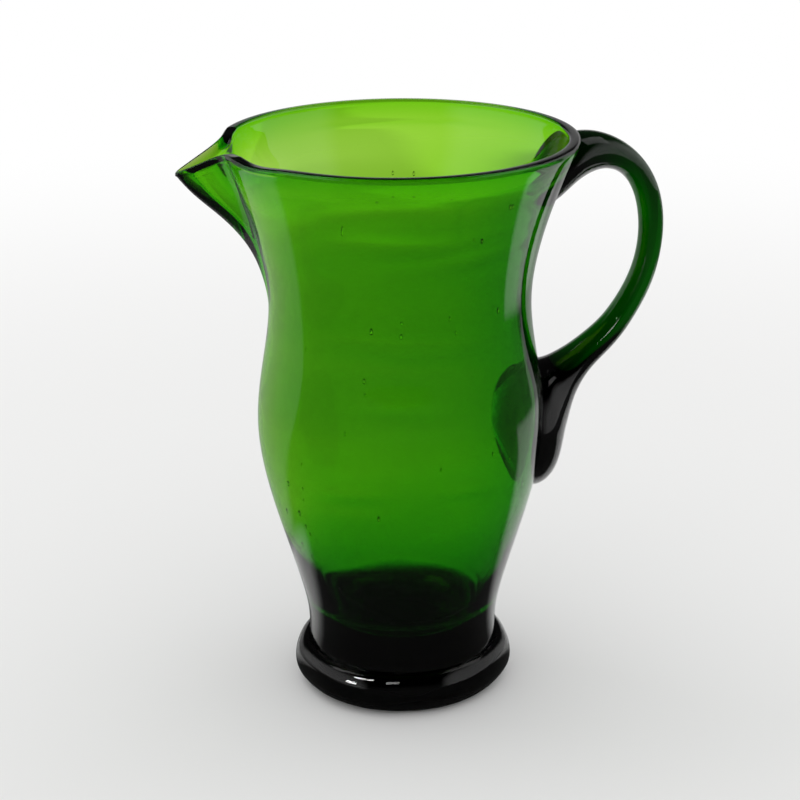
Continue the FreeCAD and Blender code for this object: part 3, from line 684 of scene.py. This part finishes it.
class JUG_OT_blown_body(bpy.types.Operator):
    """Blow the body: its wall, the fire-polished lip and the pulled spout"""

    bl_idname = "jug.blown_body"
    bl_label = "Blown body"

    def execute(self, context):
        sizes, finish = context.scene.jug_sizes, context.scene.jug_finish
        form = JugForm(sizes)
        spout_columns, other_columns = 120, 200
        edge = math.radians(32)
        angle = np.concatenate([
            np.linspace(-edge, edge, spout_columns, endpoint=False),
            np.linspace(edge, 2 * math.pi - edge, other_columns, endpoint=False),
        ])
        angle = np.where(angle > math.pi, angle - 2 * math.pi, angle)
        lip = form.lip(angle)
        rings = self.bottom(form, angle) + self.outside(form, angle, lip)
        rings += self.lip_bead(form, angle, lip) + self.hollow(form, angle, lip)
        points, faces = closed_rings(rings)
        material = glass_material(
            "green_body_glass", finish.body_tint, finish.body_depth,
            {"Ripple": 0.00012, "Striae": 0.00002}, {"Wear": 0.02})
        piece = make_piece("blown_body_glass", points, faces, material, "blown_body")
        add_seam(piece, self.seams(form, points))
        return {"FINISHED"}

    def bottom(self, form, angle):
        """The underside and its rounded edge, which stand in the foot."""
        sizes = form.sizes
        corner, neck, low = sizes.bottom_corner, form.neck_radius, sizes.body_bottom
        middle, rows = 0.002, 7
        rings = [place(angle, r, low) for r in np.linspace(middle, neck - corner, rows)]
        for turn in np.linspace(0, math.pi / 2, rows)[1:]:
            radius = neck - corner + corner * math.sin(turn)
            rings.append(place(angle, radius, low + corner * (1 - math.cos(turn))))
        return rings

    def outside(self, form, angle, lip):
        """The outside of the wall, up to just below the lip."""
        sizes = form.sizes
        low_rows, spout_rows = 72, 38
        start = sizes.body_bottom + sizes.bottom_corner
        level = sizes.jug_height * SPOUT_ROOT
        top = lip - sizes.lip_round * BEAD_START
        heights = [*np.linspace(start, level, low_rows)[1:]]
        heights += [level + (top - level) * share for share in np.linspace(0, 1, spout_rows)[1:]]
        return [place(angle, form.outside(angle, height), height) for height in heights]

    def lip_bead(self, form, angle, lip):
        """The lip's flattened round, from the outside of the wall over to the hollow."""
        below, rows = math.radians(12), 20
        outer, inner = form.outside(angle, lip), form.inside(angle, lip)
        middle, half = (outer + inner) / 2, (outer - inner) / 2
        rings = []
        for turn in np.linspace(-below, math.pi + below, rows):
            across = flattened(math.cos(turn), BEAD_ACROSS)
            up = flattened(math.sin(turn), BEAD_UP)
            rings.append(place(angle, middle + half * across, lip + form.sizes.lip_round * up))
        return rings

    def hollow(self, form, angle, lip):
        """The wall of the hollow, down to its rounded floor."""
        sizes = form.sizes
        spout_rows, low_rows, corner_rows, floor_rows = 60, 90, 12, 8
        closer_below, middle = 1.4, 0.06
        level = sizes.jug_height * SPOUT_ROOT
        corner, floor = sizes.floor_corner, sizes.hollow_floor
        top = lip - sizes.lip_round * BEAD_START
        root = floor + corner
        shares = 1 - np.linspace(0, 1, spout_rows) ** closer_below
        heights = [level + (top - level) * share for share in shares]
        heights += [*np.linspace(level, root, low_rows)[1:]]
        rings = [place(angle, form.inside(angle, height), height) for height in heights]
        reach = form.inside(angle, root) - corner
        for turn in np.linspace(0, math.pi / 2, corner_rows)[1:]:
            rings.append(place(angle, reach + corner * math.cos(turn), root - corner * math.sin(turn)))
        rings += [place(angle, reach * share, floor) for share in np.linspace(1, middle, floor_rows)[1:]]
        return rings

    def seams(self, form, points):
        """How deep each point lies in the foot or under the handle's pads."""
        outline_points, skin_depth, clear, tuck = 120, 0.0012, 0.01, 0.0002
        crease = form.sizes.foot_height - tuck
        depths = np.full(len(points), -clear)
        reach = np.hypot(points[:, 0], points[:, 1])
        turn = np.arctan2(points[:, 1], points[:, 0])
        low = points[:, 2] < crease + clear
        depths[low] = crease - points[low, 2]
        angle = np.arctan2(-points[:, 1], -points[:, 0])
        wall = form.outside(angle, np.minimum(points[:, 2], form.lip_height))
        skin = (np.abs(reach - wall) < skin_depth) & (points[:, 2] > crease + clear) & (np.abs(turn) < 1)
        flat = np.stack([form.belly_radius * turn[skin], points[skin, 2]], axis=1)
        run = HandleRun(form)
        around = np.linspace(0, 2 * math.pi, outline_points, endpoint=False)
        for upper in (False, True):
            x, y, z = run.point(run.entry(around, 0.0, upper), around).T
            outline = np.stack([form.belly_radius * np.arctan2(y, x), z], axis=1)
            depths[skin] = np.maximum(depths[skin], outline_depth(flat, outline))
        return depths


class JUG_OT_applied_foot(bpy.types.Operator):
    """Press the foot on under the body"""

    bl_idname = "jug.applied_foot"
    bl_label = "Applied foot"

    def execute(self, context):
        sizes, finish = context.scene.jug_sizes, context.scene.jug_finish
        form = JugForm(sizes)
        columns, rest_clear, rest_rise, calm_share = 192, 0.0005, 0.004, 0.3
        calm = calm_share * (sizes.foot_reach - form.neck_radius)
        angle = np.linspace(-math.pi, math.pi, columns, endpoint=False)
        rings = []
        seams = []
        for radius, height, fused in self.profile(form):
            sag = 0
            if height > rest_clear and not fused:
                sag = self.unevenness(angle, height / sizes.foot_height)
                sag = sag * np.clip((radius - form.neck_radius) / calm, 0, 1) * min(1, height / rest_rise)
            rings.append(place(angle, radius + sag, height))
            seams += [fused] * columns
        points, faces = closed_rings(rings)
        seams += [False, True]
        material = glass_material(
            "green_foot_glass", finish.foot_tint, finish.foot_depth,
            {"Ripple": 0.0002, "Striae": 0.0}, {"Wear": 0.0, "Rub height": 0.0012, "Rub": 0.35})
        piece = make_piece("applied_foot_glass", points, faces, material, "applied_foot")
        add_seam(piece, np.where(seams, sizes.seam_depth, -sizes.seam_depth))
        return {"FINISHED"}

    def unevenness(self, angle, share):
        """How the cushion swells and draws in round its edge."""
        swells = 0
        for size, count, start, climb in FOOT_SWELLS:
            swells = swells + size * np.sin(count * angle + start + climb * share)
        return swells

    def profile(self, form):
        """The foot's outline from its underside round to the seam in the body: radius, height and fused."""
        sizes = form.sizes
        slack, tuck, crest_share, thin_share, sink = 0.0006, 0.0004, 0.15, 0.30, 0.3
        dish_middle, floor_middle = 0.08, 0.06
        dish_rows, under_rows, rest_rows, edge_rows, crest_rows = 8, 7, 4, 13, 26
        gather_rows, corner_rows, floor_rows = 12, 8, 5
        edge, top, neck, pontil = sizes.foot_edge, sizes.foot_height, form.neck_radius, sizes.pontil_radius
        reach = sizes.foot_reach - slack
        rest_out = reach - edge
        rest_in = rest_out - sizes.rest_width
        outer = []
        for share in np.linspace(dish_middle, 1, dish_rows):
            outer.append((pontil * share, sizes.under_hollow + sizes.pontil_depth * (1 - share * share)))
        for share in np.linspace(0, 1, under_rows)[1:]:
            fall = 1 - smooth_step(0, 1, share)
            outer.append((pontil + (rest_in - pontil) * share, sizes.under_hollow * fall))
        for share in np.linspace(0, 1, rest_rows)[1:]:
            outer.append((rest_in + sizes.rest_width * share, 0))
        for turn in np.linspace(0, math.pi / 2, edge_rows)[1:]:
            outer.append((rest_out + edge * math.sin(turn), edge * (1 - math.cos(turn))))
        crest = neck + crest_share * (reach - neck)
        swell = reach - crest
        over = math.pi / 2 + math.asin((crest - neck + tuck) / swell)
        for turn in np.linspace(0, over, crest_rows)[1:]:
            outer.append((crest + swell * math.cos(turn), edge + (top - edge) * math.sin(turn)))
        depth, floor = sizes.seam_depth, sizes.hollow_floor
        root = floor + sizes.floor_corner
        corner = sizes.floor_corner + depth
        hollow = float(form.inside(np.array(math.pi / 2), np.array(root))) - sizes.floor_corner
        start = math.asin(thin_share)
        thin_end = root - corner * thin_share
        thin_radius = hollow + corner * math.cos(start)
        inner = [(neck - depth, outer[-1][1] - sink * depth)]
        for share in np.linspace(0, 1, gather_rows):
            height = top + (thin_end - top) * share
            wall = float(smooth_curve(form.outside_points, height)) - depth
            inner.append((wall + (thin_radius - wall) * share * share, height))
        for turn in np.linspace(start, math.pi / 2, corner_rows)[1:]:
            inner.append((hollow + corner * math.cos(turn), root - corner * math.sin(turn)))
        for share in np.linspace(1, floor_middle, floor_rows)[1:]:
            inner.append((hollow * share, floor - depth))
        return [(*point, False) for point in outer] + [(*point, True) for point in inner]


class JUG_OT_applied_handle(bpy.types.Operator):
    """Draw the handle from its pad on the belly up to its end below the lip"""

    bl_idname = "jug.applied_handle"
    bl_label = "Applied handle"

    def execute(self, context):
        sizes, finish = context.scene.jug_sizes, context.scene.jug_finish
        form = JugForm(sizes)
        run = HandleRun(form)
        columns, end, end_rows, rows = 64, 0.03, 9, 170
        around = np.linspace(0, 2 * math.pi, columns, endpoint=False)
        start = run.entry(around, sizes.seam_depth, False)
        stop = run.entry(around, sizes.seam_depth, True)
        shares = np.concatenate([
            np.linspace(0, end, end_rows)[:-1],
            np.linspace(end, 1 - end, rows)[:-1],
            np.linspace(1 - end, 1, end_rows),
        ])
        rings = [run.point(start + (stop - start) * share, around) for share in shares]
        rings = self.cap(form, rings[0])[::-1] + rings + self.cap(form, rings[-1])
        points, faces = closed_rings(rings, faces_flipped=True)
        material = glass_material(
            "green_handle_glass", finish.handle_tint, finish.handle_depth,
            {"Ripple": 0.0001, "Striae": 0.000006}, {"Wear": 0.02})
        piece = make_piece(
            "applied_handle_glass", points, faces, material, "applied_handle")
        add_seam(piece, run.depth(np.asarray(points)))
        return {"FINISHED"}

    def cap(self, form, ring):
        """Rings that close one end of the handle inside the body's wall."""
        turn = np.arctan2(ring[:, 1], ring[:, 0])
        height = ring[:, 2]
        caps = []
        for share in (0.75, 0.5, 0.25, 0.05):
            inner_turn = turn.mean() + (turn - turn.mean()) * share
            inner_height = height.mean() + (height - height.mean()) * share
            angle = np.arctan2(-np.sin(inner_turn), -np.cos(inner_turn))
            top = np.minimum(inner_height, form.lip_height)
            radius = form.outside(angle, top) - form.sizes.seam_depth
            caps.append(np.stack(
                [radius * np.cos(inner_turn), radius * np.sin(inner_turn), inner_height], axis=-1))
        return caps


class JUG_OT_seeds(bpy.types.Operator):
    """Scatter the small drawn-out bubbles that the glass has caught"""

    bl_idname = "jug.seeds"
    bl_label = "Seeds"

    def execute(self, context):
        form = JugForm(context.scene.jug_sizes)
        chance = np.random.RandomState(11)
        points, faces = [], []
        for angle, spread_angle, height, spread_height, count in SEED_CLOUDS:
            for _ in range(count):
                turn = math.radians(angle + spread_angle * chance.uniform(-1, 1))
                level = (height + spread_height * chance.uniform(-1, 1)) * form.sizes.jug_height
                self.add_seed(form, turn, level, chance.uniform(0.6, 1.3), points, faces)
        material = clear_glass("seed_wall", {})[0]
        make_piece("seed_bubbles", points, faces, material, None)
        return {"FINISHED"}

    def add_seed(self, form, angle, height, size, points, faces):
        """One oval bubble in the middle of the wall, drawn out along it."""
        slim = form.sizes.seed_size * size / 2
        tall = slim * SEED_DRAWN
        middle = (form.outside(angle, height) + form.inside(angle, height)) / 2
        base = len(points)
        around = np.linspace(0, 2 * math.pi, SEED_COLUMNS, endpoint=False)
        rings = []
        for level in np.linspace(-math.pi / 2, math.pi / 2, SEED_ROWS)[1:-1]:
            out = slim * math.cos(level)
            reach = middle + out * np.cos(around)
            turn = angle + out * np.sin(around) / middle
            rings.append(place(turn, reach, height + tall * math.sin(level)))
        ring_points, ring_faces = closed_rings(rings)
        points.extend(ring_points)
        faces.extend(tuple(base + i for i in face) for face in ring_faces)


# Stage.


class JUG_OT_stage(bpy.types.Operator):
    """Set up the floor, the lamps, the room light and the camera"""

    bl_idname = "jug.stage"
    bl_label = "Stage"

    def execute(self, context):
        scene = context.scene
        self.floor(scene)
        self.room(scene)
        self.lamps(scene)
        self.camera(scene)
        scene.view_settings.view_transform = "Standard"
        for bounces in ("max_bounces", "transmission_bounces", "transparent_max_bounces"):
            setattr(scene.cycles, bounces, LIGHT_BOUNCES)
        return {"FINISHED"}

    def floor(self, scene):
        """A round pale floor that fades out into the white background."""
        stage = scene.jug_stage
        mesh = bpy.data.meshes.new("studio_floor")
        sides = 96
        angles = np.linspace(0, 2 * math.pi, sides, endpoint=False)
        rim = [tuple(point) for point in place(angles, stage.floor_reach, 0.0)]
        mesh.from_pydata(rim, [], [tuple(range(len(rim)))])
        mesh.materials.append(self.floor_material(stage))
        floor = bpy.data.objects.new("studio_floor", mesh)
        scene.collection.objects.link(floor)

    def floor_material(self, stage):
        """Pale matt floor with the jug's shadow, fading to white; painted shade and reflections for the
        glass.
        """
        material = bpy.data.materials.new("pale_floor")
        material.use_nodes = True
        tree = material.node_tree
        shader = tree.nodes["Principled BSDF"]
        shader.inputs["Roughness"].default_value = 0.6
        shader.inputs["Specular IOR Level"].default_value = 0.0
        where = tree.nodes.new("ShaderNodeNewGeometry").outputs["Position"]
        distance = tree.nodes.new("ShaderNodeVectorMath")
        distance.operation = "LENGTH"
        tree.links.new(where, distance.inputs[0])
        away = distance.outputs["Value"]
        parts = split(tree, where)
        x, y = parts["X"], parts["Y"]
        straight, through, mirrored = self.ray_kinds(tree)
        # Painted reflection: in the glass the floor's near side looks darker, with a bright patch each side.
        dim = times(tree, mirrored, rest_of(tree, self.painted_floor_reflection(tree, stage, x, y, away)))
        # Painted shadow: through the glass the floor behind the jug looks shaded.
        shade = times(tree, self.painted_shadow_behind(tree, x, y), through, stage.painted_shadow_depth)
        # Painted shade: through the glass the floor close to the jug looks dark.
        close = times(tree, through, ramp(tree, away, *PAINTED_SHADE_CLOSE_BOUND, PAINTED_SHADE_CLOSE_DARK, 0))
        bright = times(tree, rest_of(tree, dim), rest_of(tree, shade), rest_of(tree, close))
        tint = tree.nodes.new("ShaderNodeVectorMath")
        tint.operation = "SCALE"
        tint.inputs[0].default_value = stage.floor_colour
        tree.links.new(bright, tint.inputs["Scale"])
        tree.links.new(tint.outputs["Vector"], shader.inputs["Base Color"])
        glow = tree.nodes.new("ShaderNodeEmission")
        tree.links.new(bright, glow.inputs["Strength"])
        fade = ramp(tree, away, stage.fade_start, stage.fade_end, 0, 1)
        blank = tree.nodes.new("ShaderNodeMixShader")
        tree.links.new(times(tree, fade, maths(tree, "MAXIMUM", straight, mirrored)), blank.inputs["Fac"])
        tree.links.new(shader.outputs["BSDF"], blank.inputs[1])
        tree.links.new(glow.outputs["Emission"], blank.inputs[2])
        tree.links.new(blank.outputs["Shader"], tree.nodes["Material Output"].inputs["Surface"])
        return material

    def painted_floor_reflection(self, tree, stage, x, y, away):
        """Painted reflections on the floor: a darker near side and a painted bright patch on each side."""
        near = self.turned(tree, x, y, NEAR_TURN)
        near = ramp(tree, near, *NEAR_BOUND, stage.painted_dim_front_floor, stage.behind_mirrored)
        left = times(tree, ramp(tree, x, *LEFT_PATCH, 1, 0), ramp(tree, away, *LEFT_PATCH_END, 1, 0))
        right = times(tree, ramp(tree, x, *RIGHT_PATCH, 0, 1), ramp(tree, away, *RIGHT_PATCH_END, 1, 0))
        painted_reflection_patches = times(tree, maths(tree, "MAXIMUM", left, right), ramp(tree, y, *PATCH_FRONT, 0, 1))
        return maths(tree, "MAXIMUM", near, painted_reflection_patches)

    def painted_shadow_behind(self, tree, x, y):
        """How far the painted shadow behind the jug, seen only through the glass, covers the floor."""
        gap = times(tree, ramp(tree, y, *GAP_NEAR, 0, 1), ramp(tree, x, *GAP_LEFT, 0, 1))
        near = ramp(tree, y, *SHADE_NEAR, SHADE_NEAR_SHARE, 1)
        far = ramp(tree, y, *SHADE_FAR, 1, SHADE_FAR_SHARE)
        return times(tree, ramp(tree, x, *SHADE_LEFT, 0, 1), near, far, rest_of(tree, gap))

    def turned(self, tree, x, y, turn):
        """Distance behind the jug, with the zone's bound turned back on the handle's side."""
        return maths(tree, "SUBTRACT", y, times(tree, maths(tree, "MAXIMUM", x, 0.0), turn))

    def ray_kinds(self, tree):
        """Masks for rays that go straight or through glass, those through glass, and mirrored ones."""
        path = tree.nodes.new("ShaderNodeLightPath")
        through = path.outputs["Is Transmission Ray"]
        straight = maths(tree, "MAXIMUM", path.outputs["Is Camera Ray"], through)
        mirrored = maths(tree, "SUBTRACT", path.outputs["Is Glossy Ray"], straight)
        return straight, through, maths(tree, "MAXIMUM", mirrored, 0.0)

    def room(self, scene):
        """White to the camera, soft light all round, and zones of its own brightness for the glass."""
        stage = scene.jug_stage
        world = bpy.data.worlds.new("studio")
        world.use_nodes = True
        tree = world.node_tree
        background = tree.nodes["Background"]
        background.inputs["Color"].default_value = (1, 1, 1, 1)
        parts = split(tree, tree.nodes.new("ShaderNodeTexCoord").outputs["Generated"])
        x, y, z = parts["X"], parts["Y"], parts["Z"]
        straight, through, mirrored = self.ray_kinds(tree)
        behind = self.turned(tree, x, y, FRONT_TURN)
        behind = ramp(tree, behind, *FRONT_BOUND, stage.front_shade, stage.behind_mirrored)
        behind = times(tree, behind, ramp(tree, z, *LOW_BOUND, 1, stage.front_shade))
        beside = ramp(tree, maths(tree, "ABSOLUTE", x), *SIDE_BOUND, 0, stage.side_mirrored)
        reflected = times(tree, maths(tree, "MAXIMUM", behind, beside), mirrored)
        dark_above = times(tree, through, ramp(tree, z, *ABOVE_BOUND, 0, ABOVE_DARK))
        seen = maths(tree, "SUBTRACT", straight, dark_above)
        other = maths(tree, "SUBTRACT", rest_of(tree, straight), mirrored)
        total = maths(tree, "ADD", reflected, seen)
        total = maths(tree, "ADD", total, times(tree, other, stage.room_light))
        tree.links.new(total, background.inputs["Strength"])
        scene.world = world

    def lamps(self, scene):
        """Two broad soft lamps behind the jug, and near windows that only the foot and handle mirror."""
        mirrored_in = bpy.data.collections.new("window_mirrors")
        for name in ("applied_foot_glass", "applied_handle_glass"):
            mirrored_in.objects.link(bpy.data.objects[name])
        for name, (spot, wide, tall, share) in LAMPS.items():
            lamp = bpy.data.lights.new(name, "AREA")
            lamp.shape = "RECTANGLE"
            lamp.size, lamp.size_y = wide, tall
            lamp.energy = scene.jug_stage.key_power * share
            holder = bpy.data.objects.new(name, lamp)
            holder.location = spot
            holder.rotation_euler = (LAMP_AIM - Vector(spot)).to_track_quat("-Z", "Y").to_euler()
            scene.collection.objects.link(holder)
            if name.startswith("window"):
                holder.light_linking.receiver_collection = mirrored_in

    def camera(self, scene):
        """A long lens at the photograph's viewing angle."""
        eye = bpy.data.cameras.new("camera")
        eye.lens = CAMERA_LENS
        eye.sensor_width = CAMERA_SENSOR
        eye.sensor_fit = "HORIZONTAL"
        camera = bpy.data.objects.new("camera", eye)
        way = (CAMERA_AIM - CAMERA_PLACE).to_track_quat("-Z", "Y").to_matrix().to_4x4()
        camera.matrix_world = Matrix.Translation(CAMERA_PLACE) @ way @ Matrix.Rotation(-CAMERA_ROLL, 4, "Z")
        scene.collection.objects.link(camera)
        scene.camera = camera


class JUG_PT_panel(bpy.types.Panel):
    """The jug's pieces and its stage"""

    bl_idname = "JUG_PT_panel"
    bl_label = "Glass jug"
    bl_space_type = "VIEW_3D"
    bl_region_type = "UI"
    bl_category = "Glass jug"

    def draw(self, context):
        for operator in STEPS:
            self.layout.operator(operator.bl_idname)


STEPS = (JUG_OT_blown_body, JUG_OT_applied_foot, JUG_OT_applied_handle, JUG_OT_seeds, JUG_OT_stage)
GROUPS = {"jug_sizes": JugSizes, "jug_finish": JugFinish, "jug_stage": JugStage}


def register():
    """Add the jug's classes and settings."""
    for item in (*GROUPS.values(), *STEPS, JUG_PT_panel):
        bpy.utils.register_class(item)
    for name, group in GROUPS.items():
        setattr(bpy.types.Scene, name, PointerProperty(type=group))


def unregister():
    """Take the jug's classes and settings away."""
    for name in GROUPS:
        delattr(bpy.types.Scene, name)
    for item in (JUG_PT_panel, *reversed(STEPS), *reversed(list(GROUPS.values()))):
        bpy.utils.unregister_class(item)


def main():
    """Build the jug and its stage."""
    register()
    for operator in STEPS:
        group, name = operator.bl_idname.split(".")
        getattr(getattr(bpy.ops, group), name)()


if __name__ == "__main__":
    main()
